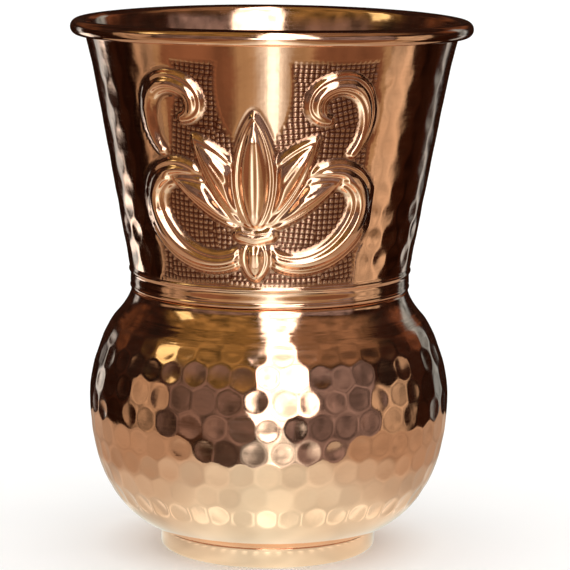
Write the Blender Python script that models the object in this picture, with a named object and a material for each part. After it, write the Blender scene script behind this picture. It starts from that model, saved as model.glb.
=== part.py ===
"""Hammered copper kalash tumbler: a flared cup on a round bulb and a low foot.

The tumbler is sheet metal. A conical upper wall is curled outward round a
wire at the rim, and its lower end slips over the neck of a raised bowl as a
lap joint at the waist, closed by a line of braze inside. A short ring is
brazed under the bowl as its foot. Nothing moves.

Units are metres, +Z is up and the origin is the centre of the foot's
underside. Every piece is turned about the Z axis, so each outline is a list
of (radius, height) pairs.
"""

from math import cos, pi, radians, sin, tan

import bmesh
import bpy
from mathutils import Vector

# Overall sizes
HEIGHT = 0.110                # underside of the foot to the top of the rim
RIM_RADIUS = 0.0411           # to the outside of the rolled rim
BULB_RADIUS = 0.0372          # widest part of the bowl
BULB_HEIGHT = 0.0320          # height of the widest part
WAIST_RADIUS = 0.0286         # narrowest part, where the two halves meet
WAIST_HEIGHT = 0.0544         # lower edge of the upper wall
FOOT_RADIUS = 0.0223

# Sheet, wire and fits
SHEET = 0.0007                # thickness of the beaten sheet
GAP = 0.0003                  # clearance left between pieces that touch
ROLL_RADIUS = 0.0016          # outside of the rolled rim's section
WIRE_RADIUS = ROLL_RADIUS - SHEET - GAP

# Upper wall
BAND_HEIGHT = 0.0038          # plain band between the two swaged ridges
RIDGE_HEIGHT = 0.0009         # each ridge, measured up the wall
RIDGE_PROUD = 0.00022         # how far a ridge stands out
BAND_SLOPE = 0.08             # outward run per unit of height, on the band
CONE_SLOPE = 0.1817           # the same, on the cone
LIP_LEAN = radians(18)        # lean of the wall where it turns into the rim
ROLL_END = radians(-126)      # where the curl tucks in under the rim
LAP_HEIGHT = 0.0056           # how far the bowl's neck goes up inside

# Bowl and foot
BOWL_FLOOR = 0.0027           # underside of the bowl above the table
FLAT_RADIUS = 0.0133          # flat middle of the bowl's underside
SHOULDER_OUT = 0.0035         # the bulb's shoulder, out from the waist
SHOULDER_DROP = 0.0062        # and down from it
SHOULDER_LEAN = radians(133)  # direction of the outline there, going up
FOOT_WALL = 0.0016
FOOT_EDGE = 0.0007            # rounding at the foot's lower edge
BRAZE_SIZE = 0.0011           # leg of a line of braze

SEGMENTS = 48


def arc(centre, radius, start, end, count):
    """Points on a circle of the outline plane, from one angle to another."""
    points = []
    for step in range(count):
        angle = start + (end - start) * step / (count - 1)
        points.append((centre[0] + radius * cos(angle), centre[1] + radius * sin(angle)))
    return points


def bezier(start, handle_a, handle_b, end, count):
    """Points on a cubic curve between two outline points."""
    points = []
    for step in range(count):
        t = step / (count - 1)
        weights = ((1 - t) ** 3, 3 * (1 - t) ** 2 * t, 3 * (1 - t) * t ** 2, t ** 3)
        corners = (start, handle_a, handle_b, end)
        points.append(tuple(sum(w * c[axis] for w, c in zip(weights, corners)) for axis in (0, 1)))
    return points


def offset(points, distance):
    """The outline moved sideways, to its left for a positive distance."""
    moved = []
    for index, (radius, height) in enumerate(points):
        before = Vector(points[max(index - 1, 0)])
        after = Vector(points[min(index + 1, len(points) - 1)])
        along = (after - before).normalized()
        moved.append((max(radius - along.y * distance, 0.0), height + along.x * distance))
    return moved


def copper(name, colour, roughness):
    material = bpy.data.materials.new(name)
    material.use_nodes = True
    shader = material.node_tree.nodes["Principled BSDF"]
    shader.inputs["Base Color"].default_value = (*colour, 1.0)
    shader.inputs["Metallic"].default_value = 1.0
    shader.inputs["Roughness"].default_value = roughness
    return material


def turned(name, outline, material):
    """A closed outline spun once round the Z axis."""
    shape = bmesh.new()
    corners = [shape.verts.new((radius, 0.0, height)) for radius, height in outline]
    for index, corner in enumerate(corners):
        shape.edges.new((corner, corners[(index + 1) % len(corners)]))
    on_axis = [edge for edge in shape.edges if all(corner.co.x < 1e-9 for corner in edge.verts)]
    bmesh.ops.delete(shape, geom=on_axis, context="EDGES")
    bmesh.ops.spin(
        shape,
        geom=shape.verts[:] + shape.edges[:],
        cent=(0.0, 0.0, 0.0),
        axis=(0.0, 0.0, 1.0),
        angle=2 * pi,
        steps=SEGMENTS,
        use_merge=True,
    )
    bmesh.ops.remove_doubles(shape, verts=shape.verts[:], dist=1e-7)
    bmesh.ops.recalc_face_normals(shape, faces=shape.faces[:])
    mesh = bpy.data.meshes.new(name)
    shape.to_mesh(mesh)
    shape.free()
    mesh.materials.append(material)
    mesh.shade_smooth()
    mesh.set_sharp_from_angle(angle=radians(40))
    piece = bpy.data.objects.new(name, mesh)
    bpy.context.scene.collection.objects.link(piece)
    return piece


def roll_centre():
    return (RIM_RADIUS - ROLL_RADIUS, HEIGHT - ROLL_RADIUS)


def ridge(low):
    """A half-round ridge swaged into the wall, from its lower edge upwards."""
    points = []
    for part in (0.0, 0.25, 0.5, 0.75, 1.0):
        height = low + part * RIDGE_HEIGHT
        points.append((sleeve_radius(height) + RIDGE_PROUD * sin(pi * part), height))
    return points


def sleeve_radius(height):
    """Outside radius of the plain wall round the waist."""
    return WAIST_RADIUS + max(height - WAIST_HEIGHT, 0.0) * BAND_SLOPE


def upper_wall(material):
    """The flared sheet cone, with its lip curled outward over the rim wire.

    The outline climbs the outside, from the lower edge over the two ridges
    to the inside of the curl, goes round the curl, and comes down inside.
    """
    band_top = WAIST_HEIGHT + BAND_HEIGHT - RIDGE_HEIGHT / 2
    low_ridge = ridge(WAIST_HEIGHT)
    high_ridge = ridge(band_top)
    centre = roll_centre()
    curl_inner = arc(centre, ROLL_RADIUS - SHEET, pi - LIP_LEAN, ROLL_END, 9)
    curl_outer = arc(centre, ROLL_RADIUS, ROLL_END, pi - LIP_LEAN, 17)
    cone_low, cone_high = high_ridge[-1], curl_inner[0]
    low_pull = 0.75 * (cone_high[1] - cone_low[1])
    high_pull = 0.10 * (cone_high[1] - cone_low[1])
    cone = bezier(
        cone_low,
        (cone_low[0] + CONE_SLOPE * low_pull, cone_low[1] + low_pull),
        (cone_high[0] - tan(LIP_LEAN) * high_pull, cone_high[1] - high_pull),
        cone_high,
        9,
    )
    inside = offset([low_ridge[0], (sleeve_radius(band_top), band_top)] + cone[:-1], SHEET)
    outline = low_ridge + high_ridge + cone[1:] + curl_inner[1:] + curl_outer + inside[::-1]
    return turned("upper_wall", outline, material)


def rim_wire(material):
    """The closed wire hoop that the rim is curled round."""
    hoop = arc(roll_centre(), WIRE_RADIUS, 0.0, 2 * pi, 11)
    return turned("rim_wire", hoop[:-1], material)


def bowl_outside():
    """The bulb's outer line, from the edge of its flat floor to the waist."""
    waist = (WAIST_RADIUS, WAIST_HEIGHT - GAP)
    shoulder = (WAIST_RADIUS + SHOULDER_OUT, WAIST_HEIGHT - SHOULDER_DROP)
    lean = Vector((cos(SHOULDER_LEAN), sin(SHOULDER_LEAN)))
    lower = bezier(
        (FLAT_RADIUS, BOWL_FLOOR),
        (0.81 * BULB_RADIUS, BOWL_FLOOR),
        (BULB_RADIUS, 0.47 * BULB_HEIGHT),
        (BULB_RADIUS, BULB_HEIGHT),
        11,
    )
    upper = bezier(
        (BULB_RADIUS, BULB_HEIGHT),
        (BULB_RADIUS, BULB_HEIGHT + 0.42 * (shoulder[1] - BULB_HEIGHT)),
        tuple(Vector(shoulder) - 0.15 * (shoulder[1] - BULB_HEIGHT) * lean),
        shoulder,
        8,
    )
    throat = bezier(
        shoulder,
        tuple(Vector(shoulder) + 0.64 * (waist[1] - shoulder[1]) * lean),
        (waist[0], waist[1] - 0.15 * (waist[1] - shoulder[1])),
        waist,
        5,
    )
    return lower + upper[1:] + throat[1:]


def lower_bowl(material):
    """The raised bowl: a round bulb whose neck steps in by one sheet.

    The step carries the lower edge of the upper wall, and the neck above it
    stands inside that wall for the length of the lap.
    """
    outside = bowl_outside()
    step = SHEET + GAP
    neck_low = outside[-1][1]
    neck_top = WAIST_HEIGHT + LAP_HEIGHT
    neck = [
        (sleeve_radius(height) - step, height)
        for height in (neck_low, (neck_low + neck_top) / 2, neck_top)
    ]
    neck_inside = [(radius - SHEET, height) for radius, height in neck]
    inside = offset([(0.0, BOWL_FLOOR)] + outside[:-1], SHEET)
    outline = (
        [(0.0, BOWL_FLOOR)] + outside + neck + neck_inside[::-1] + inside[::-1]
    )
    return turned("lower_bowl", outline, material)


def height_under_bowl(radius):
    """Height of the bowl's underside at a radius near the foot."""
    outside = bowl_outside()
    for low, high in zip(outside, outside[1:]):
        if low[0] <= radius <= high[0]:
            part = (radius - low[0]) / (high[0] - low[0])
            return low[1] + part * (high[1] - low[1])
    return BOWL_FLOOR


def foot_ring(material):
    """The short ring that the bowl stands on, its top following the bowl."""
    inner = FOOT_RADIUS - FOOT_WALL
    round_edge = arc((FOOT_RADIUS - FOOT_EDGE, FOOT_EDGE), FOOT_EDGE, radians(-90), 0.0, 5)
    outline = round_edge + [
        (FOOT_RADIUS, height_under_bowl(FOOT_RADIUS) - GAP),
        (inner, height_under_bowl(inner) - GAP),
        (inner, FOOT_EDGE / 3),
        (inner + FOOT_EDGE / 3, 0.0),
    ]
    return turned("foot_ring", outline, material)


def waist_braze(material):
    """Line of braze inside the cup, over the top edge of the bowl's neck."""
    low = WAIST_HEIGHT + LAP_HEIGHT + GAP
    wall = sleeve_radius(low) - SHEET - 2 * GAP
    outline = [
        (wall, low),
        (wall + BRAZE_SIZE * CONE_SLOPE, low + BRAZE_SIZE),
        (wall - BRAZE_SIZE * 0.6, low),
    ]
    return turned("waist_braze", outline, material)


def foot_braze(material):
    """Line of braze in the corner between the foot ring and the bowl."""
    outer = FOOT_RADIUS - FOOT_WALL - GAP
    inner = outer - BRAZE_SIZE
    outline = [
        (outer, height_under_bowl(outer) - GAP - BRAZE_SIZE),
        (outer, height_under_bowl(outer) - GAP),
        (inner, height_under_bowl(inner) - GAP),
    ]
    return turned("foot_braze", outline, material)


for leftover in list(bpy.data.objects):
    bpy.data.objects.remove(leftover, do_unlink=True)

polished = copper("polished_copper", (0.78, 0.40, 0.24), 0.12)
drawn_wire = copper("drawn_wire", (0.66, 0.33, 0.20), 0.30)
braze = copper("braze_alloy", (0.72, 0.55, 0.33), 0.35)

upper_wall(polished)
rim_wire(drawn_wire)
lower_bowl(polished)
waist_braze(braze)
foot_ring(polished)
foot_braze(braze)
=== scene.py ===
"""The looks of a hammered copper kalash tumbler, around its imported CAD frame.

Sections follow the tumbler as it is put together: bowl, foot, foot braze,
upper wall with its chased panel, rim wire, waist braze. The floor, the
lights and the camera come last. Lengths are metres unless a name ends in
_mm, +Z is up, and the chased panel faces -Y.
"""

from math import cos, pi, radians, sin, tan

import bmesh
import bpy
import numpy as np
from mathutils import Matrix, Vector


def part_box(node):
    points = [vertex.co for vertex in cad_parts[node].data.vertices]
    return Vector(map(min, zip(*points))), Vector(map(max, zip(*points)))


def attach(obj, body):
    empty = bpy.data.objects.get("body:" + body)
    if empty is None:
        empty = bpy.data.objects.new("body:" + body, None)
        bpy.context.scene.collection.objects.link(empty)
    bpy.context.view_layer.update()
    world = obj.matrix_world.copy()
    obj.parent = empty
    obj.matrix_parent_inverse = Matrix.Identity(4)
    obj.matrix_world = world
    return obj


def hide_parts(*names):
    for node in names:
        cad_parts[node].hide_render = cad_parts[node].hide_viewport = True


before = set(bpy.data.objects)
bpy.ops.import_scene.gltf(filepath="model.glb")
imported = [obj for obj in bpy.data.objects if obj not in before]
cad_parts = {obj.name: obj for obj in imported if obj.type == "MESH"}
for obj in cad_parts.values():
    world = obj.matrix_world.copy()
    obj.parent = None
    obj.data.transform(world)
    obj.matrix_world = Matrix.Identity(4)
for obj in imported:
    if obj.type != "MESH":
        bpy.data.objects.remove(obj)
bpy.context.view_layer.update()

# --- Bowl ------------------------------------------------------------------
# The bulb is raised from one copper disc, so its floor, belly and neck are a
# single 0.7 mm sheet. It is planished smooth on the shoulder and hammered in
# staggered rows of round dents below it, then buffed bright.

mm = 0.001
sheet = 0.7 * mm
gap = 0.3 * mm                      # clearance that the CAD leaves at joints
waist_radius = 28.6 * mm
waist_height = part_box("upper_wall")[0].z
neck_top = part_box("lower_bowl")[1].z
bulb_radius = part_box("lower_bowl")[1].x
bulb_height = 32.0 * mm             # height of the widest part
bowl_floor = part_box("lower_bowl")[0].z
flat_radius = 13.3 * mm             # of the bowl's flat floor
shoulder_out = 3.5 * mm             # from the waist to where the shoulder turns up
shoulder_down = 6.2 * mm
shoulder_lean = radians(133)
band_slope = 0.08                   # outward run of the waist band
touching = 1e-7                     # points closer than this are one point


def curve(start, handle_a, handle_b, end, count):
    """Points on a cubic curve in the (radius, height) plane."""
    t = np.linspace(0.0, 1.0, count)[:, None]
    start, handle_a, handle_b, end = (np.array(p, float) for p in (start, handle_a, handle_b, end))
    return (
        (1 - t) ** 3 * start
        + 3 * (1 - t) ** 2 * t * handle_a
        + 3 * (1 - t) * t ** 2 * handle_b
        + t ** 3 * end
    )


def even(points, spacing):
    """The same line with its points a regular spacing apart."""
    points = np.array(points, float)
    along = np.concatenate([[0.0], np.cumsum(np.hypot(*np.diff(points, axis=0).T))])
    marks = np.linspace(0.0, along[-1], max(int(round(along[-1] / spacing)), 1) + 1)
    return np.stack([np.interp(marks, along, points[:, axis]) for axis in (0, 1)], axis=1)


def beside(points, distance):
    """The line moved to its left, as the other face of a sheet."""
    tangent = np.gradient(points, axis=0)
    tangent /= np.hypot(tangent[:, 0], tangent[:, 1])[:, None]
    moved = points + distance * np.stack([-tangent[:, 1], tangent[:, 0]], axis=1)
    moved[:, 0] = np.maximum(moved[:, 0], 0.0)
    return moved


def turn(name, outline, steps):
    """A closed (radius, height) outline spun once round the Z axis."""
    shape = bmesh.new()
    rim = [shape.verts.new((r, 0.0, z)) for r, z in outline]
    for here, there in zip(rim, rim[1:] + rim[:1]):
        if max(here.co.x, there.co.x) > touching:
            shape.edges.new((here, there))
    bmesh.ops.spin(
        shape,
        geom=shape.verts[:] + shape.edges[:],
        cent=(0, 0, 0),
        axis=(0, 0, 1),
        angle=2 * pi,
        steps=steps,
        use_merge=True,
    )
    bmesh.ops.remove_doubles(shape, verts=shape.verts[:], dist=touching)
    bmesh.ops.recalc_face_normals(shape, faces=shape.faces[:])
    return shape


def piece_from(shape, name):
    """A smooth-shaded object made of the shape, linked to the scene."""
    mesh = bpy.data.meshes.new(name)
    shape.to_mesh(mesh)
    shape.free()
    mesh.shade_smooth()
    piece = bpy.data.objects.new(name, mesh)
    bpy.context.scene.collection.objects.link(piece)
    return piece


def read_points(piece):
    """Where the piece's points are, one row each."""
    co = np.empty(len(piece.data.vertices) * 3, np.float32)
    piece.data.vertices.foreach_get("co", co)
    return co.reshape(-1, 3).astype(float)


def read_normals(piece):
    """Which way the piece's surface faces at each point."""
    normals = np.empty(len(piece.data.vertices) * 3, np.float32)
    piece.data.vertex_normals.foreach_get("vector", normals)
    return normals.reshape(-1, 3).astype(float)


def write_points(piece, co):
    """Moves the piece's points to new places."""
    piece.data.vertices.foreach_set("co", co.astype(np.float32).ravel())
    piece.data.update()


def round_angle(co):
    """Angle round the tumbler, 0 at the front (-Y) and growing towards +X."""
    return np.arctan2(co[:, 0], -co[:, 1])


belly_low = curve(
    (flat_radius, bowl_floor),
    (0.81 * bulb_radius, bowl_floor),
    (bulb_radius, 0.47 * bulb_height),
    (bulb_radius, bulb_height),
    200,
)
shoulder = np.array((waist_radius + shoulder_out, waist_height - shoulder_down))
lean = np.array((cos(shoulder_lean), sin(shoulder_lean)))
neck_foot = np.array((waist_radius, waist_height - gap))
belly_high = curve(
    belly_low[-1],
    (bulb_radius, bulb_height + 0.42 * (shoulder[1] - bulb_height)),
    shoulder - 0.15 * (shoulder[1] - bulb_height) * lean,
    shoulder,
    120,
)
throat = curve(
    shoulder,
    shoulder + 0.64 * (neck_foot[1] - shoulder[1]) * lean,
    neck_foot - (0.0, 0.15 * (neck_foot[1] - shoulder[1])),
    neck_foot,
    60,
)
bowl_outside = np.concatenate([belly_low, belly_high[1:], throat[1:]])
neck_radius = waist_radius - sheet - gap
neck = np.array([
    (neck_radius + band_slope * (z - waist_height), z)
    for z in np.linspace(waist_height - gap, neck_top, 6)
])
belly_rows = even(bowl_outside, 0.5 * mm)
floor_rows = even([(0.0, bowl_floor), belly_low[0]], 1.4 * mm)
inside_rows = even(beside(bowl_outside[:-12], sheet), 1.15 * mm)
inside_floor = even([(0.0, bowl_floor + sheet), inside_rows[0]], 1.4 * mm)
bowl_outline = np.concatenate([
    floor_rows[:-1],
    belly_rows,
    neck,
    (neck - (sheet, 0.0))[::-1],
    inside_rows[::-1],
    inside_floor[:-1][::-1],
])
bowl = piece_from(turn("bowl", bowl_outline, 440), "hammered_bowl")

dent_pitch = 4.95 * mm              # from row to row, up the belly
dents_round = 44                    # in each row
dent_rows = 8
dent_radius = 2.52 * mm
dent_depth = 0.155 * mm
lowest_row_share = 1.7              # the lowest row was struck harder
first_row_height = 13.0 * mm
last_row_height = 47.0 * mm         # the planishing has thinned the top row out here
turned_height = 45.0 * mm           # tool rings show on the shoulder above this
stray_round = 0.065                 # share of its width that a blow strays sideways
stray_up = 0.045                    # and up or down
stray_size = 0.06                   # share of its size that a dent varies by
stray_depth = 0.14


def dented(angle, climb, radius, rows_at, count, size, depth, seed):
    """Depth of the rows of hammer dents at each point, 0 between the dents.

    climb is the distance up the sheet, rows_at each row's own distance and
    depth each row's own depth. A dent is a shallow cap with a slightly rounded
    edge, and no two are quite the same size, depth or distance from their
    neighbours.
    """
    random = np.random.default_rng(seed)
    shape = (len(rows_at), count)
    strayed = random.normal(0.0, stray_round, shape)
    slide = random.normal(0.0, stray_up, shape) * size * 2
    scale = 1.0 + random.normal(0.0, stray_size, shape)
    deep = depth[:, None] * (1.0 + random.normal(0.0, stray_depth, shape))
    dent = np.zeros(len(angle))
    for row, height in enumerate(rows_at):
        near = np.abs(climb - height) < 1.4 * size
        place = angle[near] / (2 * pi) * count - 0.5 * (row % 2)
        for side in (-1, 0, 1):
            index = np.round(place).astype(int) + side
            pick = index % count
            across = (place - index - strayed[row, pick]) * 2 * pi * radius[near] / count
            up = climb[near] - height - slide[row, pick]
            share = np.hypot(across, up) / (size * scale[row, pick])
            cap = deep[row, pick] * (1.0 - share ** 2)
            soft = 0.05 * depth[row]
            cap = 0.5 * (cap + np.sqrt(cap ** 2 + soft ** 2)) - 0.5 * soft * np.exp(-share)
            dent[near] = np.maximum(dent[near], cap)
    return dent


climb_along = np.concatenate([[0.0], np.cumsum(np.hypot(*np.diff(bowl_outside, axis=0).T))])


def climb_at(height):
    """Distance up the outside of the bowl at a height."""
    return np.interp(height, bowl_outside[:, 1], climb_along)


co = read_points(bowl)
out = read_normals(bowl)
radius = np.hypot(co[:, 0], co[:, 1])
skin_radius = np.interp(co[:, 2], bowl_outside[:, 1], bowl_outside[:, 0])
on_belly = (co[:, 2] > bowl_floor + 0.05 * mm) & (co[:, 2] < shoulder[1] + 1.5 * mm)
is_outside = on_belly & (radius > skin_radius - 0.3 * sheet)
is_inside = on_belly & (radius <= skin_radius - 0.3 * sheet)
rows_at = climb_at(first_row_height) + dent_pitch * np.arange(dent_rows)
row_depth = np.full(dent_rows, dent_depth)
row_depth[0] *= lowest_row_share
dent = dented(
    round_angle(co), climb_at(co[:, 2]), radius, rows_at, dents_round, dent_radius, row_depth, 5
)
dent *= np.clip((climb_at(last_row_height) - climb_at(co[:, 2])) / (2.5 * mm), 0.25, 1.0)
co[is_outside] -= out[is_outside] * dent[is_outside, None]
co[is_inside] += out[is_inside] * 0.8 * dent[is_inside, None]
write_points(bowl, co)


def srgb(text):
    """A hex colour as linear light, with full alpha."""
    channels = [int(text[i:i + 2], 16) / 255 for i in (1, 3, 5)]
    linear = [c / 12.92 if c <= 0.04045 else ((c + 0.055) / 1.055) ** 2.4 for c in channels]
    return (*linear, 1.0)


def add(tree, kind, settings=None, **links):
    """A node with its settings, and its inputs set or linked by name."""
    node = tree.nodes.new(kind)
    for name, value in (settings or {}).items():
        setattr(node, name, value)
    for name, value in links.items():
        socket = node.inputs[int(name[1:])] if name[1:].isdigit() else node.inputs[name.replace("_", " ")]
        if isinstance(value, bpy.types.NodeSocket):
            tree.links.new(value, socket)
        else:
            socket.default_value = value
    return node


def maths(tree, operation, first, second=0.0):
    """The result of one sum on one or two values."""
    return add(tree, "ShaderNodeMath", {"operation": operation}, _0=first, _1=second).outputs[0]


def blend(tree, share, first, second):
    """The colour that lies a share of the way from the first to the second."""
    return add(tree, "ShaderNodeMix", {"data_type": "RGBA"}, _0=share, _6=first, _7=second).outputs[2]


def spread_over(tree, value, low, high, start, end, ease="LINEAR"):
    """A value that runs from start to end while the given one runs from low to high."""
    return add(
        tree, "ShaderNodeMapRange", {"interpolation_type": ease},
        Value=value, From_Min=low, From_Max=high, To_Min=start, To_Max=end,
    ).outputs["Result"]


def raised(tree, height, distance, under=None):
    """A surface whose fine relief follows the height, over another such relief."""
    node = add(tree, "ShaderNodeBump", Height=height, Strength=1.0, Distance=distance)
    if under is not None:
        tree.links.new(under, node.inputs["Normal"])
    return node.outputs["Normal"]


def metal(name):
    """A new metal: its material, node tree, shader and Object coordinates."""
    material = bpy.data.materials.new(name)
    material.use_nodes = True
    tree = material.node_tree
    shader = tree.nodes["Principled BSDF"]
    shader.inputs["Metallic"].default_value = 1.0
    return material, tree, shader, add(tree, "ShaderNodeTexCoord").outputs["Object"]


def polished_copper():
    """Copper sheet, hammered, pickled and buffed to a mirror.

    The buffing leaves hairlines round the body and a faint unevenness that
    breaks up reflections. Hollows that the buff can't reach keep a brown film,
    which the tarnish attribute of a mesh marks.
    """
    material, tree, shader, place = metal("polished_copper_sheet")
    patches = add(tree, "ShaderNodeTexNoise", Vector=place, Scale=1 / (14 * mm), Detail=3.0)
    bright = blend(tree, patches.outputs["Fac"], srgb("#FACFB0"), srgb("#F4BD98"))
    film = add(tree, "ShaderNodeAttribute", {"attribute_name": "tarnish"}).outputs["Fac"]
    tree.links.new(blend(tree, film, bright, srgb("#5C2615")), shader.inputs["Base Color"])

    line_scale = (1 / (30 * mm), 1 / (30 * mm), 1 / (0.5 * mm))
    lines = add(tree, "ShaderNodeMapping", Vector=place, Scale=line_scale)
    noise = add(tree, "ShaderNodeTexNoise", Vector=lines.outputs["Vector"], Scale=1.0, Detail=4.0)
    hairlines = noise.outputs["Fac"]
    haze = spread_over(tree, hairlines, 0.3, 0.75, 0.07, 0.13)
    chased = add(tree, "ShaderNodeAttribute", {"attribute_name": "chased"}).outputs["Fac"]
    dull = maths(tree, "ADD", haze, maths(tree, "MULTIPLY", film, 0.22))
    rough = maths(tree, "ADD", dull, maths(tree, "MULTIPLY", chased, 0.02))
    tree.links.new(rough, shader.inputs["Roughness"])

    ripple = add(tree, "ShaderNodeTexNoise", Vector=place, Scale=1 / (3.5 * mm), Detail=2.0)
    swell = raised(tree, ripple.outputs["Fac"], 0.03 * mm)
    scored = raised(tree, hairlines, 0.002 * mm, swell)
    ring_scale = (1 / (9 * mm), 1 / (9 * mm), 1 / (0.7 * mm))
    lathe = add(tree, "ShaderNodeMapping", Vector=place, Scale=ring_scale)
    rings = add(tree, "ShaderNodeTexNoise", Vector=lathe.outputs["Vector"], Scale=1.0, Detail=3.0)
    turned = add(tree, "ShaderNodeAttribute", {"attribute_name": "turned"}).outputs["Fac"]
    ring_height = maths(tree, "MULTIPLY", rings.outputs["Fac"], turned)
    tree.links.new(raised(tree, ring_height, 0.05 * mm, scored), shader.inputs["Normal"])
    return material


def mark(piece, name, amount):
    """Stores how much of a finish each point has, for the material to read."""
    layer = piece.data.attributes.new(name, "FLOAT", "POINT")
    layer.data.foreach_set("value", amount.astype(np.float32))


copper = polished_copper()
mark(bowl, "turned", is_outside * np.clip((co[:, 2] - turned_height) / (3.5 * mm), 0.0, 1.0))
bowl.data.materials.append(copper)
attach(bowl, "root")
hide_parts("lower_bowl")

# --- Foot ring ---------------------------------------------------------------
# A short ring of thicker copper, turned with a rounded lower edge, brazed
# under the bowl. It is plain and bright outside.

foot_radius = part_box("foot_ring")[1].x
foot_wall = 1.6 * mm
foot_edge = 0.7 * mm                # rounding of the lower outer edge
foot_bevel = 0.25 * mm              # on the lower inner edge
foot_lip = 0.15 * mm                # rounding of the upper outer edge
foot_lip_drop = 0.2 * mm            # from the bowl down to the middle of that rounding


def circle(centre, radius, start, end, count):
    """Points on an arc of the (radius, height) plane, angles in degrees."""
    angle = np.radians(np.linspace(start, end, count))
    return np.stack([centre[0] + radius * np.cos(angle), centre[1] + radius * np.sin(angle)], axis=1)


def under_bowl(radius):
    """Height of the bowl's underside at a radius."""
    return np.interp(radius, belly_low[:, 0], belly_low[:, 1])


foot_inner = foot_radius - foot_wall
lip_height = under_bowl(foot_radius) - foot_lip_drop
seat_radius = foot_radius - 0.6 * mm
foot_outline = np.concatenate([
    even([(foot_inner + foot_bevel, 0.0), (foot_radius - foot_edge, 0.0)], 0.3 * mm),
    circle((foot_radius - foot_edge, foot_edge), foot_edge, -90, 0, 9)[1:],
    even([(foot_radius, 1.0 * mm), (foot_radius, lip_height)], 0.5 * mm),
    circle((foot_radius - foot_lip, lip_height), foot_lip, 20, 90, 4),
    even([
        (seat_radius, under_bowl(seat_radius) - 0.08 * mm),
        (foot_inner, under_bowl(foot_inner) - 0.12 * mm),
    ], 0.5 * mm),
    even([(foot_inner, under_bowl(foot_inner) - 0.5 * mm), (foot_inner, foot_bevel)], 0.6 * mm),
])
foot = piece_from(turn("foot", foot_outline, 256), "turned_foot_ring")
foot.data.materials.append(copper)
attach(foot, "root")
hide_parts("foot_ring")

# --- Foot braze --------------------------------------------------------------
# The line of brazing alloy in the corner inside the foot ring. It flowed when
# it was molten, so it is a hollow fillet with an uneven toe.


def brazing_alloy():
    """Brass brazing rod, melted and wiped: yellower and duller than copper."""
    material, tree, shader, place = metal("wiped_brazing_alloy")
    noise = add(tree, "ShaderNodeTexNoise", Vector=place, Scale=1 / (1.5 * mm), Detail=4.0)
    blotches = noise.outputs["Fac"]
    tree.links.new(blend(tree, blotches, srgb("#D9B26E"), srgb("#A87444")), shader.inputs["Base Color"])
    tree.links.new(spread_over(tree, blotches, 0.3, 0.7, 0.25, 0.45), shader.inputs["Roughness"])
    tree.links.new(raised(tree, blotches, 0.05 * mm), shader.inputs["Normal"])
    return material


braze = brazing_alloy()
braze_leg = 1.2 * mm
braze_gap = 0.1 * mm                # left between the alloy and the copper
toe = np.array((foot_inner - braze_leg, under_bowl(foot_inner - braze_leg) - braze_gap))
heel = np.array((foot_inner - braze_gap, under_bowl(foot_inner) - braze_gap - braze_leg))
corner = np.array((foot_inner - braze_gap, under_bowl(foot_inner) - braze_gap))
foot_braze_outline = np.concatenate([
    curve(heel, 0.5 * (heel + corner), 0.5 * (toe + corner), toe, 7)[::-1],
    [corner],
])


def run_unevenly(piece, amount, seed):
    """Shifts a fillet's points a little, as molten metal does round a joint."""
    co = read_points(piece)
    angle = round_angle(co)
    random = np.random.default_rng(seed)
    swell = sum(
        random.uniform(0.3, 1.0) * np.sin(waves * angle + random.uniform(0, 2 * pi))
        for waves in (3, 7, 13, 22, 37)
    )
    co[:, 2] += amount * swell / 3
    write_points(piece, co)


foot_braze = piece_from(turn("foot_braze", foot_braze_outline, 200), "foot_braze_line")
run_unevenly(foot_braze, 0.05 * mm, 3)
foot_braze.data.materials.append(braze)
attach(foot_braze, "root")
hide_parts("foot_braze")

# --- Upper wall --------------------------------------------------------------
# A cone of the same sheet. Its top is curled outward over the rim wire, and
# two ridges are swaged round its lower end. The front is chased from both
# sides: a lotus between scrolls stands out of a ground that is matted with a
# checkered punch. Round dents cover the sides and the back.

rim_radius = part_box("upper_wall")[1].x
rim_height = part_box("upper_wall")[1].z
roll_radius = 1.6 * mm
roll_centre = (rim_radius - roll_radius, rim_height - roll_radius)
cone_slope = 0.1817
lip_lean = 18                       # degrees, where the wall meets the curl
roll_end = -126                     # degrees, where the curl stops under the rim
ridge_tall = 0.9 * mm
ridge_proud = 0.22 * mm
band_tall = 3.8 * mm


def band_radius(height):
    """Radius of the outside of the waist band at a height."""
    return waist_radius + band_slope * (height - waist_height)


def ridge(low):
    """A half-round ridge swaged into the wall."""
    part = np.linspace(0.0, 1.0, 9)
    height = low + part * ridge_tall
    return np.stack([band_radius(height) + ridge_proud * np.sin(pi * part), height], axis=1)


high_ridge_low = waist_height + band_tall - ridge_tall / 2
low_ridge, high_ridge = ridge(waist_height), ridge(high_ridge_low)
curl_inner = circle(roll_centre, roll_radius - sheet, 180 - lip_lean, roll_end, 12)
curl_outer = circle(roll_centre, roll_radius, roll_end, 180 - lip_lean, 30)
cone_low, cone_high = high_ridge[-1], curl_inner[0]
rise = cone_high[1] - cone_low[1]
cone = curve(
    cone_low,
    cone_low + 0.75 * rise * np.array((cone_slope, 1.0)),
    cone_high - 0.10 * rise * np.array((tan(radians(lip_lean)), 1.0)),
    cone_high,
    300,
)
band = even([low_ridge[-1], high_ridge[0]], 0.5 * mm)[1:-1]
upright = band_slope + 0.03         # the swage leaves the band almost upright
band[:, 0] -= upright * (band[:, 1] - band[:, 1].mean())
cone_rows = even(cone, 0.67 * mm)
wall_inside = even(
    beside(np.concatenate([[(band_radius(waist_height), waist_height)], cone]), sheet)[:-1], 1.6 * mm
)
wall_outline = np.concatenate([
    low_ridge,
    band,
    high_ridge,
    cone_rows[1:],
    curl_inner[1:],
    curl_outer[:-1],
    wall_inside[::-1],
])
shape = turn("upper_wall", wall_outline, 320)

panel_centre = radians(-5.5)        # round the wall, towards the left
panel_right = radians(34.5)
panel_low = high_ridge[-1][1]
panel_high = 104.0 * mm


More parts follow.
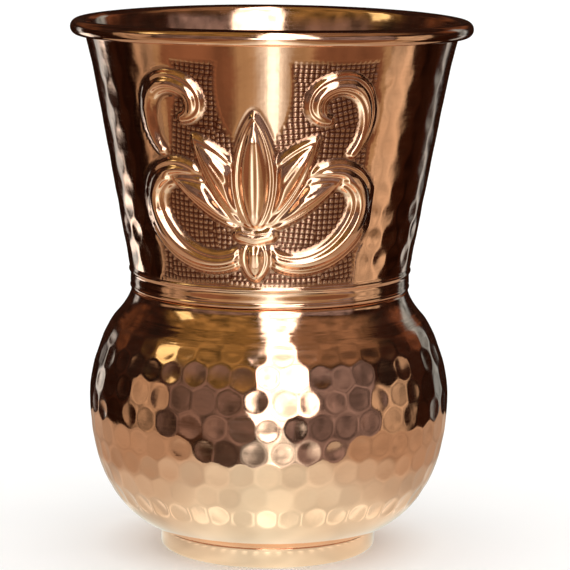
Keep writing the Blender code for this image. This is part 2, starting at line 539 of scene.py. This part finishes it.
def panel_left(height):
    """The left edge of the chased panel, which the chaser let wander out."""
    climb = (height - panel_low) / (panel_high - panel_low)
    wander = 1.6 * np.sin(9 * climb + 1) + 1.0 * np.sin(23 * climb)
    return np.radians(-51.0 + 20.0 * np.clip(climb, 0, 1) ** 0.8 + wander)


def in_panel(point):
    """Whether a point of the wall is on the outside of the chased panel."""
    turned = np.arctan2(point.x, -point.y)
    outer = np.hypot(point.x, point.y) > np.interp(point.z, cone[:, 1], cone[:, 0]) - 0.4 * sheet
    tall = panel_low - 0.5 * mm < point.z < panel_high + 1.2 * mm
    left = min(panel_left(point.z), radians(-38.0)) - radians(1.5)
    return left < turned < panel_right + radians(1.5) and tall and outer


panel_edges = [edge for edge in shape.edges if all(in_panel(v.co) for v in edge.verts)]
bmesh.ops.subdivide_edges(shape, edges=panel_edges, cuts=2, use_grid_fill=True)
wall = piece_from(shape, "chased_upper_wall")

co = read_points(wall)
out = read_normals(wall)
angle = round_angle(co)
radius = np.hypot(co[:, 0], co[:, 1])
cone_radius = np.interp(co[:, 2], cone[:, 1], cone[:, 0])
on_cone = (co[:, 2] > panel_low) & (co[:, 2] < cone_high[1] - 1.5 * mm)
is_outside = on_cone & (radius > cone_radius - 0.4 * sheet) & (radius < cone_radius + 0.3 * sheet)
is_inside = on_cone & (radius <= cone_radius - 0.4 * sheet)

# The cone laid flat about the middle of the panel: millimetres across and up.
cone_sine = sin(radians(10.3))
middle_height = 0.5 * (panel_low + panel_high) + 0.3 * mm
middle_slant = np.interp(middle_height, cone[:, 1], cone[:, 0]) / cone_sine
slant = cone_radius / cone_sine
spread = (angle - panel_centre) * cone_sine
flat_x_mm = slant * np.sin(spread) / mm
flat_y_mm = (slant * np.cos(spread) - middle_slant) / mm


def petal(foot, lean, length, width, bend=0.0):
    """Spine and half widths of a pointed petal, in millimetres."""
    t = np.linspace(0.0, 1.0, 48)
    heading = lean + bend * (t - 0.5)
    steps = np.stack([np.sin(heading), np.cos(heading)], axis=1) * length / len(t)
    spine = foot + np.cumsum(steps, axis=0)
    return spine, width * np.sin(pi * t ** 0.85) ** 0.8 + 0.05


def scrolls(side):
    """The two scrolling stems at one side of the lotus."""
    flip = np.array((side, 1.0))
    rise = curve((19.6, 3.0), (25.6, 8.4), (23.4, 18.6), (16.6, 17.9), 26)
    curl = curve((16.6, 17.9), (11.4, 17.2), (10.6, 11.6), (14.6, 10.4), 18)
    upper = np.concatenate([rise, curl[1:]])
    stem = curve((0.6, -14.0), (5.5, -22.5), (19.0, -18.0), (21.6, -9.2), 30)
    around = np.radians(np.linspace(-18, 190, 40))
    shrink = np.linspace(6.7, 6.1, 40)
    ring = np.stack([15.2 + shrink * np.cos(around), -7.1 + shrink * np.sin(around)], axis=1)
    lower = np.concatenate([stem, ring[1:]])
    share = np.linspace(0, 1, len(upper))
    yield upper * flip, np.interp(share, [0, 0.5, 0.85, 1], [0.9, 2.3, 1.9, 0.9])
    share = np.linspace(0, 1, len(lower))
    yield lower * flip, np.interp(share, [0, 0.35, 0.7, 0.9, 1], [1.5, 2.9, 2.6, 1.9, 0.8])


def ornament():
    """Every stroke of the ornament, from the back one to the front one.

    Each is its spine, its half widths, whether it has a vein, and how far to
    the left of the spine its crest lies, as a share of the half width.
    """
    for side in (-1, 1):
        for spine, half_width in scrolls(side):
            yield spine, half_width, False, 0.45 * side
    yield *petal((0, -13.0), pi, 8.6, 2.9), True, 0.0
    for lean, length, width, bend in ((61, 20.0, 3.3, 0.5), (34, 22.5, 3.8, 0.35)):
        for side in (-1, 1):
            yield *petal((0, -11.5), side * radians(lean), length, width, side * bend), True, -0.3 * side
    yield *petal((0, -12.0), 0.0, 24.5, 4.2), True, 0.0
    tie = np.array([(-2.9, -12.3), (0.0, -12.9), (2.9, -12.3)])
    yield tie, np.array([1.3, 1.5, 1.3]), False, 0.0


def depth_in_stroke(x, y, spine, half_width):
    """How far each point is inside a stroke, the half width there, and how far left it is."""
    depth = np.full(len(x), -99.0)
    width = np.ones(len(x))
    left_of = np.zeros(len(x))
    for a, b, wa, wb in zip(spine, spine[1:], half_width, half_width[1:]):
        d = b - a
        t = np.clip(((x - a[0]) * d[0] + (y - a[1]) * d[1]) / (d @ d), 0.0, 1.0)
        w = wa + (wb - wa) * t
        e = w - np.hypot(x - a[0] - t * d[0], y - a[1] - t * d[1])
        nearer = e > depth
        depth[nearer] = e[nearer]
        width[nearer] = w[nearer]
        cross = d[0] * (y - a[1]) - d[1] * (x - a[0])
        left_of[nearer] = (cross / np.hypot(*d) / w)[nearer]
    return depth, width, left_of


bead_mm = 1.15                      # raised line along both edges of a stroke
bead_tall_mm = 0.42
valley_mm = 0.8 * bead_mm           # from the edge to where the crest starts to rise
stroke_tall_mm = 0.42               # at the edge, without the bead
crest_tall_mm = 1.4                 # and over the edge, at most
vein_mm = 0.4
side_mm = 0.8                       # width of the sloping side round a stroke
side_out_mm = 0.45                  # of which this much is outside the edge
groove_mm = 0.12                    # chased round the outside of each stroke
groove_out_mm = 0.6


def chased_relief(x, y):
    """Height of the ornament in millimetres, and how far in it each point is."""
    height = np.zeros(len(x))
    cover = np.full(len(x), -99.0)
    for spine, half_width, veined, crest in ornament():
        depth, width, left_of = depth_in_stroke(x, y, spine, half_width)
        inner = np.maximum(width - valley_mm, 0.2)
        inward = np.clip((depth - valley_mm) / inner, 0.0, 1.0)
        across = np.clip(left_of * width / inner, -1.0, 1.0) - crest
        from_crest = np.abs(across) / np.where(across > 0, 1.0 - crest, 1.0 + crest)
        tall = np.minimum(0.48 * width, crest_tall_mm)
        dome = tall * (1.0 - from_crest ** 2) * np.clip(3 * inward, 0.0, 1.0)
        bead = bead_tall_mm * np.sin(pi * np.clip(depth / bead_mm, 0.0, 1.0)) ** 2
        body = stroke_tall_mm + bead + dome
        if veined:
            vein = np.exp(-((1.0 - inward) * width / vein_mm) ** 2)
            body -= 0.2 * vein * np.clip(width - 1.4, 0.0, 1.0)
        edge = np.clip((depth + side_out_mm) / side_mm, 0.0, 1.0)
        edge = edge * edge * (3 - 2 * edge)
        outside = np.minimum(depth, 0.0)
        pressed = height * (1.0 - 0.75 * np.exp(-(outside / 0.6) ** 2))
        groove = groove_mm * np.exp(-((depth + groove_out_mm) / 0.35) ** 2)
        height = (pressed - groove) * (1 - edge) + body * edge
        cover = np.maximum(cover, depth)
    return height, cover


punch_mm = 10.5                     # face of the checkered punch
mat_pitch_mm = 1.06                 # its grooves, one to the next
mat_line_mm = 0.27                  # half the width of a groove
ground_mm = -0.22                   # depth of the ground below the cone
square_mm = 0.2                     # the squares rise this much out of it
slip_mm = 1.3                       # by which a blow misses its place
turn_by = 0.10                      # radians, by which it is turned
random = np.random.default_rng(21)
blows = np.array([
    (
        x + random.normal(0, slip_mm),
        y + random.normal(0, slip_mm),
        random.normal(0, turn_by),
        random.uniform(0, 1),
    )
    for x in np.arange(-34, 34, punch_mm)
    for y in np.arange(-28, 30, punch_mm)
])


def matted_ground(x, y):
    """Squares left by the checkered punch, 0 in the lines to 1 on the squares.

    The punch was held by hand, so each blow has its own turn and place.
    """
    nearest = np.argmin((x[:, None] - blows[:, 0]) ** 2 + (y[:, None] - blows[:, 1]) ** 2, axis=1)
    turn, start = blows[nearest, 2], blows[nearest, 3]
    across = (np.cos(turn) * x + np.sin(turn) * y) / mat_pitch_mm + start
    up = (np.cos(turn) * y - np.sin(turn) * x) / mat_pitch_mm + 2 * start
    line_x = np.abs(across - np.round(across)) * mat_pitch_mm
    line_y = np.abs(up - np.round(up)) * mat_pitch_mm
    line = np.maximum(np.exp(-(line_x / mat_line_mm) ** 2), np.exp(-(line_y / mat_line_mm) ** 2))
    return 1.0 - line


left_edge = panel_left(co[:, 2])
near_panel = on_cone & (angle > radians(-56)) & (angle < panel_right + radians(3))
grid_mm = 0.16                      # the ornament is worked out on a fine flat plan
grid_x = np.arange(-36, 36, grid_mm)
grid_y = np.arange(-27, 27, grid_mm)
plan_x, plan_y = np.meshgrid(grid_x, grid_y, indexing="ij")
plan, plan_cover = (part.reshape(plan_x.shape) for part in chased_relief(plan_x.ravel(), plan_y.ravel()))


def eased(plan, times):
    """A plan with its creases eased, as beaten metal bends in a small curve."""
    for _ in range(times):
        for axis in (0, 1):
            plan = 0.25 * (np.roll(plan, 1, axis) + np.roll(plan, -1, axis)) + 0.5 * plan
    return plan


def read_plan(plan, x, y):
    """The plan's value between its grid points."""
    u = np.clip((x - grid_x[0]) / grid_mm, 0, len(grid_x) - 1.001)
    v = np.clip((y - grid_y[0]) / grid_mm, 0, len(grid_y) - 1.001)
    i, j = u.astype(int), v.astype(int)
    u, v = u - i, v - j
    low = plan[i, j] * (1 - v) + plan[i, j + 1] * v
    high = plan[i + 1, j] * (1 - v) + plan[i + 1, j + 1] * v
    return low * (1 - u) + high * u


# The side dents are worked out like the bowl's, with their own sizes.
side_dents_round = 38
side_dent_rows = 9
side_dent_pitch = 4.7 * mm
side_dent_radius = 2.3 * mm
side_dent_depth = 0.15 * mm
first_side_row = 4.2 * mm           # above the ridges
side_dents_top = 105.5 * mm
deep_dents_top = 84.0 * mm          # above this height the dents are shallow
inside_share = 0.45                 # of the relief, that shows on the inside

relief_mm = np.zeros(len(co))
cover_mm = np.full(len(co), -99.0)
relief_mm[near_panel] = read_plan(eased(plan, 3), flat_x_mm[near_panel], flat_y_mm[near_panel])
cover_mm[near_panel] = read_plan(plan_cover, flat_x_mm[near_panel], flat_y_mm[near_panel])
side_room_mm = np.minimum(angle - left_edge, panel_right - angle) * cone_radius / mm
ends_mm = np.minimum(panel_high - co[:, 2], co[:, 2] - panel_low) / mm
room_mm = np.minimum(side_room_mm, ends_mm)
ground = np.clip(room_mm, 0.0, 1.0) * np.clip((-cover_mm - 0.4) / 0.4, 0.0, 1.0)
plain_oval = np.hypot(flat_x_mm / 7.4, (flat_y_mm - 19.0) / 13.5)    # 1 on its edge
ground *= np.clip(8.0 * (plain_oval - 1.0), 0.0, 1.0)
squares = np.zeros(len(co))
squares[near_panel] = matted_ground(flat_x_mm[near_panel], flat_y_mm[near_panel])
rows_at = first_side_row + side_dent_pitch * np.arange(side_dent_rows)
row_depth = np.full(side_dent_rows, side_dent_depth)
side_dent = dented(
    angle, co[:, 2] - panel_low, radius, rows_at, side_dents_round, side_dent_radius, row_depth, 8
)
side_dent *= np.clip((-side_room_mm - 1.5) / 1.5, 0.0, 1.0)
side_dent *= np.clip((side_dents_top - co[:, 2]) / mm, 0.0, 1.0) * (cover_mm < -1.5)
side_dent *= np.clip((deep_dents_top - co[:, 2]) / (14.0 * mm), 0.35, 1.0)
push = relief_mm * mm * np.clip(ends_mm / 0.3 + 1.0, 0.0, 1.0) - side_dent
fine = ground * (ground_mm + square_mm * squares) * mm
co[is_outside] += out[is_outside] * (push + fine)[is_outside, None]
co[is_inside] -= out[is_inside] * (inside_share * push + ground * ground_mm * mm)[is_inside, None]


rim_sag = 0.5 * mm
sag_starts = 98.0 * mm


def sag(co):
    """Lowers the rim a little at the sides, as curling it by hand left it."""
    near_rim = np.clip((co[:, 2] - sag_starts) / (8.0 * mm), 0.0, 1.0)
    co[:, 2] -= rim_sag * near_rim * np.sin(round_angle(co)) ** 2


sag(co)
write_points(wall, co)

lines = ground * (0.15 + 0.85 * (1.0 - squares))
chase_line = 0.6 * np.exp(-((cover_mm + 0.55) / 0.35) ** 2) * is_outside
mark(wall, "tarnish", np.where(is_outside, np.maximum(lines, chase_line), 0.0))
mark(wall, "chased", is_outside * np.clip(np.maximum(ground, cover_mm + 0.5), 0.0, 1.0))
wall.data.materials.append(copper)
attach(wall, "root")
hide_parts("upper_wall")

# --- Rim wire ------------------------------------------------------------------
# A hoop of drawn copper wire, lapped and shut inside the rolled rim. Only the
# slit under the curl shows it, so it keeps its drawn, unpolished skin.


def drawn_copper():
    """Drawn copper wire: dull, brown in patches and a little uneven from the die."""
    material, tree, shader, place = metal("drawn_copper_wire")
    noise = add(tree, "ShaderNodeTexNoise", Vector=place, Scale=1 / (2 * mm), Detail=5.0)
    skin = noise.outputs["Fac"]
    tree.links.new(blend(tree, skin, srgb("#C98A66"), srgb("#8A4E34")), shader.inputs["Base Color"])
    shader.inputs["Roughness"].default_value = 0.32
    tree.links.new(raised(tree, skin, 0.01 * mm), shader.inputs["Normal"])
    return material


wire_radius = 0.5 * (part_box("rim_wire")[1].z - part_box("rim_wire")[0].z)
wire_outline = circle(roll_centre, wire_radius, 0, 360, 17)[:-1]
wire = piece_from(turn("wire", wire_outline, 200), "rim_wire_hoop")
co = read_points(wire)
sag(co)
write_points(wire, co)
wire.data.materials.append(drawn_copper())
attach(wire, "root")
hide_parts("rim_wire")

# --- Waist braze -----------------------------------------------------------------
# The line of brazing alloy inside the cup, over the top edge of the bowl's
# neck, which closes the lap joint so that the cup holds water.

waist_leg = 1.4 * mm
lap_gap = 0.05 * mm
lap_radius = band_radius(neck_top) - sheet - lap_gap
waist_heel = np.array((lap_radius + waist_leg * cone_slope, neck_top + waist_leg))
waist_toe = np.array((neck[-1][0] - sheet + 0.1 * mm, neck_top + lap_gap))
waist_corner = np.array((lap_radius, neck_top + lap_gap))
waist_braze_outline = np.concatenate([
    curve(waist_heel, 0.5 * (waist_heel + waist_corner), 0.5 * (waist_toe + waist_corner), waist_toe, 7),
    [waist_corner],
])
waist_braze = piece_from(turn("waist_braze", waist_braze_outline, 200), "waist_braze_line")
run_unevenly(waist_braze, 0.05 * mm, 4)
waist_braze.data.materials.append(braze)
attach(waist_braze, "root")
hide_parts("waist_braze")

# --- Floor and table -----------------------------------------------------------
# The floor is a plain pale sweep. Polished metal shows whatever is round it,
# so it is given a glowing sheet, not a lit cloth, on the table under it, and a
# glowing card in front of the upper wall, both with painted light. Both show in reflections and nowhere
# else.


def flat_sheet(name, low, high, height):
    """A level sheet from one (x, y) corner to the other."""
    shape = bmesh.new()
    bmesh.ops.create_grid(shape, x_segments=1, y_segments=1, size=0.5)
    bmesh.ops.scale(shape, vec=(high[0] - low[0], high[1] - low[1], 1), verts=shape.verts[:])
    centre = ((low[0] + high[0]) / 2, (low[1] + high[1]) / 2, height)
    bmesh.ops.translate(shape, vec=centre, verts=shape.verts[:])
    return piece_from(shape, name)


def plain_paint(name, colour, roughness):
    """One even colour, for paper."""
    material = bpy.data.materials.new(name)
    material.use_nodes = True
    shader = material.node_tree.nodes["Principled BSDF"]
    shader.inputs["Base Color"].default_value = srgb(colour)
    shader.inputs["Roughness"].default_value = roughness
    return material


def glowing_sheet(name):
    """An empty material, its tree, its Object coordinates and their X, Y and Z."""
    material = bpy.data.materials.new(name)
    material.use_nodes = True
    tree = material.node_tree
    tree.nodes.clear()
    place = add(tree, "ShaderNodeTexCoord").outputs["Object"]
    return material, tree, place, add(tree, "ShaderNodeSeparateXYZ", Vector=place)


def patchy(tree, place, size, strength, share):
    """A strength that varies by a share of itself, in patches of a size."""
    noise = add(tree, "ShaderNodeTexNoise", Vector=place, Scale=1 / size, Detail=2.0)
    low, high = (1 - share) * strength, (1 + share) * strength
    return spread_over(tree, noise.outputs["Fac"], 0.3, 0.7, low, high)


def painted_table_glow(middle, edge, strength):
    """A glowing sheet, not a lit cloth, with a painted pool of light brightest in front of the foot and a
    ring of painted spots close round it.

    The lowest dents of the bowl mirror the spots, one each, as painted highlights.
    """
    material, tree, place, parts = glowing_sheet("table_light")
    front = (0.0, -14 * mm, 0.0)
    reach = 74 * mm
    long_ways = (1.0, 0.4, 1.0)
    stretched = add(tree, "ShaderNodeVectorMath", {"operation": "MULTIPLY"}, _0=place, _1=long_ways)
    away = add(tree, "ShaderNodeVectorMath", {"operation": "DISTANCE"}, _0=stretched.outputs[0], _1=front)
    fade = spread_over(tree, away.outputs["Value"], 0.0, reach, 0.0, 1.0)
    # painted pool of light: brightest in front of the foot, darker towards the edges
    colour = blend(tree, maths(tree, "POWER", fade, 0.68), srgb(middle), srgb(edge))

    ring_radius = 36 * mm
    ring_width = 4.5 * mm
    out = add(tree, "ShaderNodeVectorMath", {"operation": "LENGTH"}, _0=place).outputs["Value"]
    off_ring = maths(tree, "ABSOLUTE", maths(tree, "SUBTRACT", out, ring_radius))
    ring = spread_over(tree, off_ring, 0.0, ring_width, 0.75, 0.0, "SMOOTHSTEP")
    bearing = maths(tree, "ARCTAN2", parts.outputs["X"], parts.outputs["Y"])
    wave = maths(tree, "COSINE", maths(tree, "MULTIPLY", bearing, dents_round))
    # painted spots, one for each dent of the lowest row, each mirrored there as a painted highlight
    spots = maths(tree, "MULTIPLY", ring, spread_over(tree, wave, -0.4, 1.0, 0.0, 1.0))
    total = maths(tree, "ADD", patchy(tree, place, 22 * mm, strength, 0.22), spots)
    light = add(tree, "ShaderNodeEmission", Color=colour, Strength=total)
    add(tree, "ShaderNodeOutputMaterial", Surface=light.outputs["Emission"])
    return material


floor_drop = 0.05 * mm              # the foot stands clear of the floor by this
table_drop = 0.02 * mm
card_height = 45 * mm
sweep = flat_sheet("pale_floor", (-3.0, -3.0), (3.0, 6.0), -floor_drop)
sweep.data.materials.append(plain_paint("pale_paper", "#FAFAF9", 0.9))
sweep.visible_glossy = False
table = flat_sheet("table_in_reflections", (-0.130, -0.077), (0.130, 0.11), -table_drop)
table.data.materials.append(painted_table_glow("#EAFFFA", "#9A8876", 1.36))


def card_light(middle, edge, corners, strength):
    """A glowing card with a bright middle, a brighter painted highlight streak and painted shade in its
    dark far corners.

    It is seen from above only: its underside is clear.
    """
    material, tree, place, parts = glowing_sheet("card_light")
    off_middle = maths(tree, "ABSOLUTE", maths(tree, "SUBTRACT", parts.outputs["X"], 2 * mm))
    fade = spread_over(tree, off_middle, 0.0, 30 * mm, 0.0, 1.0, "SMOOTHSTEP")
    colour = blend(tree, fade, srgb(middle), srgb(edge))
    # painted shade: the far corners are dark, so the sides of the cone mirror dark patches
    far_side = spread_over(tree, off_middle, 44 * mm, 58 * mm, 0.0, 1.0, "SMOOTHSTEP")
    far_front = spread_over(tree, parts.outputs["Y"], -62 * mm, -54 * mm, 1.0, 0.0, "SMOOTHSTEP")
    shaded = blend(tree, maths(tree, "MULTIPLY", far_side, far_front), colour, srgb(corners))
    # painted highlight: a brighter streak down the middle, mirrored on the front of the cone
    near_middle = spread_over(tree, off_middle, 5 * mm, 10 * mm, 1.0, 0.0, "SMOOTHSTEP")
    streak = maths(tree, "MULTIPLY", near_middle, far_front)
    total = maths(tree, "ADD", patchy(tree, place, 30 * mm, strength, 0.3), streak)
    light = add(tree, "ShaderNodeEmission", Color=shaded, Strength=total)
    clear = add(tree, "ShaderNodeBsdfTransparent")
    under = add(tree, "ShaderNodeNewGeometry").outputs["Backfacing"]
    both = add(tree, "ShaderNodeMixShader", _0=under, _1=light.outputs[0], _2=clear.outputs[0])
    add(tree, "ShaderNodeOutputMaterial", Surface=both.outputs[0])
    return material


card = flat_sheet("card_in_reflections", (-0.20, -0.30), (0.20, -0.046), card_height)
card.data.materials.append(card_light("#F4FFFF", "#927E62", "#70503C", 1.35))
for hidden in (table, card):
    hidden.visible_camera = False
    hidden.visible_diffuse = False
    hidden.visible_shadow = False

# --- Light ---------------------------------------------------------------------
# Soft even light from all round for the floor. What the copper reflects is a
# dark warm room with soft windows and cards, given by the compass angle from
# the camera's side (degrees, positive to the right) and the height above the
# horizon.

room = [
    # name, from angle, to angle, from height, to height, softness, colour, strength
    ("lower_room", -101, 102, -90, -42, 4, "#A8937A", 1.0),
    ("left_floor", -101, -58, -46, -26, 3, "#A8937A", 1.0),
    ("right_floor", 52, 102, -46, -26, 3, "#A8937A", 1.0),
    ("left_wall", -97, -10, 25, 90, 16, "#846C3F", 1.0),
    ("left_low", -68, -12, -26, 25, 12, "#70605A", 1.0),
    ("right_wall", 12, 102, 32, 90, 20, "#7C624B", 1.0),
    ("right_low", 18, 72, -26, 27, 6, "#7C7070", 1.0),
    ("left_beyond", -165, -118, 12, 27, 9, "#5C3A26", 0.8),
    ("right_beyond", 118, 165, 12, 27, 9, "#6A4430", 1.0),
    ("left_lamp", -86, -71, 23, 37, 2.5, "#FFF3B8", 1.10),
    ("left_card", -99, -72, -38, 13, 3, "#A8937C", 1.0),
    ("left_shade", -63, -41, -31, -12, 5, "#3C2A20", 1.0),
    ("right_card", 75, 102, -26, 13, 3, "#AA9A86", 1.15),
    ("left_strip", -145, -137, -16, 6, 4, "#B3C4CF", 1.1),
    ("left_sill", -152, -130, -27, -15, 3, "#F2FAFF", 1.3),
    ("right_strip", 134, 146, -12, 24, 5, "#899CA6", 1.0),
    ("right_sill", 141, 151, -27, -12, 3, "#A8B6BE", 1.0),
    ("window_on_floor", -14, 25, -42, -20, 10, "#E0E7E7", 1.0),
    ("window_sill", -5, 14, -26, -12, 4, "#F4FFFF", 1.1),
    ("window_streak", -1, 7, -44, -14, 3, "#FFFFFF", 1.8),
    ("low_window", -12, 12, -10, 7, 4, "#FFFFFF", 3.0),
    ("main_window", -7, 26, 3, 95, 5, "#FFFFFF", 3.2),
]

world = bpy.data.worlds.new("studio_room")
world.use_nodes = True
bpy.context.scene.world = world
tree = world.node_tree
tree.nodes.clear()
look = add(tree, "ShaderNodeTexCoord").outputs["Generated"]
parts = add(tree, "ShaderNodeSeparateXYZ", Vector=look)
away_y = maths(tree, "MULTIPLY", parts.outputs["Y"], -1.0)
compass = maths(tree, "ARCTAN2", parts.outputs["X"], away_y)
height = maths(tree, "ARCSINE", parts.outputs["Z"])


def between(value, near, far, soft):
    """1 between two angles in degrees and 0 outside them, with a soft edge."""
    middle, half, edge = radians((near + far) / 2), radians((far - near) / 2), radians(soft) / 2
    off_middle = maths(tree, "ABSOLUTE", maths(tree, "SUBTRACT", value, middle))
    return spread_over(tree, off_middle, half - edge, half + edge, 1.0, 0.0, "SMOOTHSTEP")


colour = srgb("#24120A")            # the dark of the room
for name, left, right, low, high, soft, tint, strength in room:
    patch = maths(tree, "MULTIPLY", between(compass, left, right, soft), between(height, low, high, soft))
    patch.node.label = name
    bright = tuple(c * strength for c in srgb(tint)[:3]) + (1.0,)
    colour = blend(tree, patch, colour, bright)
clutter = add(tree, "ShaderNodeTexNoise", Vector=look, Scale=7.0, Detail=2.0)
uneven = spread_over(tree, clutter.outputs["Fac"], 0.32, 0.68, 0.4, 1.7)
mirrored = add(tree, "ShaderNodeBackground", Color=colour, Strength=uneven)
soft_light = add(tree, "ShaderNodeBackground", Color=(1.0, 1.0, 1.0, 1.0), Strength=1.22)
by_metal = add(tree, "ShaderNodeLightPath").outputs["Is Glossy Ray"]
both = add(tree, "ShaderNodeMixShader", _0=by_metal, _1=soft_light.outputs[0], _2=mirrored.outputs[0])
add(tree, "ShaderNodeOutputWorld", Surface=both.outputs[0])

# --- Camera --------------------------------------------------------------------
# A long lens a little above the rim, looking down at the panel.

camera_place = (0.0, -548.75 * mm, 146.37 * mm)
looks_down = 9.5                    # degrees
looks_right = 0.33
leans = 0.564
camera_data = bpy.data.cameras.new("camera")
camera_data.lens = 169.6
camera_data.sensor_width = 36.0
camera_data.clip_start = 0.01
camera = bpy.data.objects.new("camera", camera_data)
bpy.context.scene.collection.objects.link(camera)
turned = Matrix.Rotation(radians(-looks_right), 4, "Z") @ Matrix.Rotation(radians(90 - looks_down), 4, "X")
rolled = turned @ Matrix.Rotation(radians(leans), 4, "Z")
camera.matrix_world = Matrix.Translation(camera_place) @ rolled
bpy.context.scene.camera = camera
bpy.context.scene.view_settings.view_transform = "Standard"
